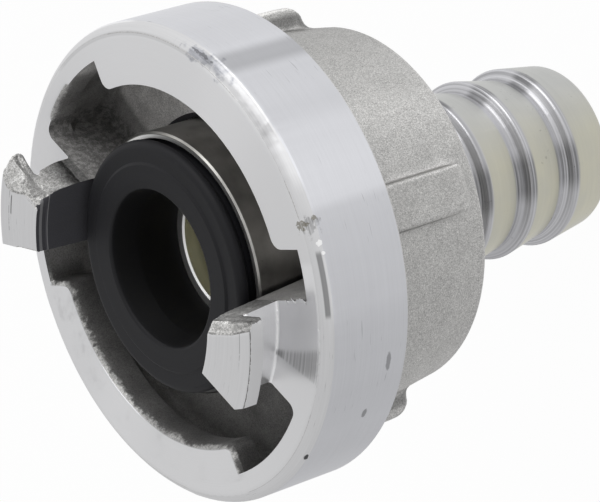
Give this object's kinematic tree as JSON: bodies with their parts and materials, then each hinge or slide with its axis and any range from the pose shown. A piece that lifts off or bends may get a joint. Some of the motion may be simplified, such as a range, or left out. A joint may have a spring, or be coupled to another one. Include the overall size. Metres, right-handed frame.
{
  "type": "storz coupling",
  "caption": "Hose coupling: a locking ring with hook lugs and a ramped rim swivels on a barbed hose tail with a face seal.",
  "frame": {"origin": "on the axis, at the middle of the hose end, which is the part's lowest face", "axes": "+Z along the coupling's axis from the hose end to the coupling face; +Y through the middle of an entry notch of the locking ring at rest"},
  "size_m": [0.0544, 0.0544, 0.0645],
  "materials": {
    "forged_aluminium": "forged, with a turned front and band",
    "turned_aluminium": "turned, satin",
    "seal_rubber": "moulded, matte",
    "spring_wire": "drawn"
  },
  "bodies": {
    "tail": {"hose_tail": "turned_aluminium", "seal": "seal_rubber", "snap_ring": "spring_wire"},
    "ring": {"locking_ring": "forged_aluminium"}
  },
  "joints": [
    {"name": "ring_swivel", "type": "hinge", "parent": "tail", "child": "ring", "pos_m": [0, 0, 0.0405], "axis": [0, 0, 1], "continuous": true}
  ]
}
